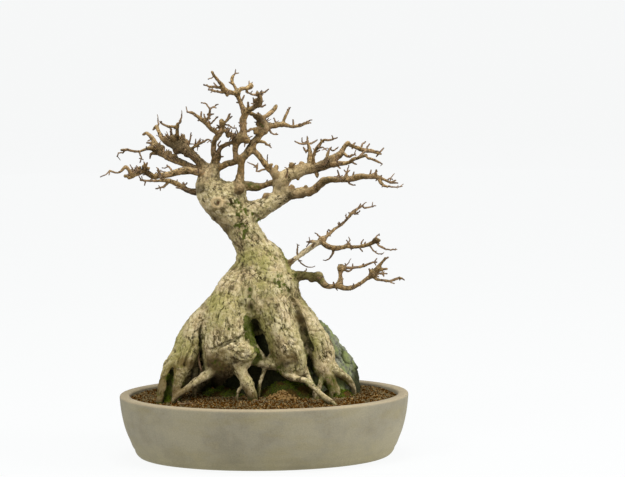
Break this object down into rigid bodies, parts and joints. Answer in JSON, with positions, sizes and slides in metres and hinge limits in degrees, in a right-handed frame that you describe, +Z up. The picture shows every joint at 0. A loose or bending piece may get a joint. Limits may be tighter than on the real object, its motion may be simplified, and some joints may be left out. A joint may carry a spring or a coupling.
{
  "type": "trident maple bonsai",
  "caption": "Leafless trident maple bonsai with a stout trunk and bare limbs, its roots spread over a rock in grit soil, in a shallow oval unglazed stoneware pot with a flat lip.",
  "frame": {"origin": "centre of the pot's flat underside", "axes": "+X along the pot's length to the right as seen from the front, +Y to the back, +Z up"},
  "size_m": [0.5238, 0.372, 0.6692],
  "materials": {
    "stoneware": "matt",
    "screen_plastic": "satin",
    "akadama_grit": "matt",
    "field_stone": "matt",
    "bark": "matt"
  },
  "bodies": {
    "root": {"pot": "stoneware", "left_drain_screen": "screen_plastic", "right_drain_screen": "screen_plastic", "soil": "akadama_grit", "rock": "field_stone", "tree": "bark"}
  },
  "joints": []
}
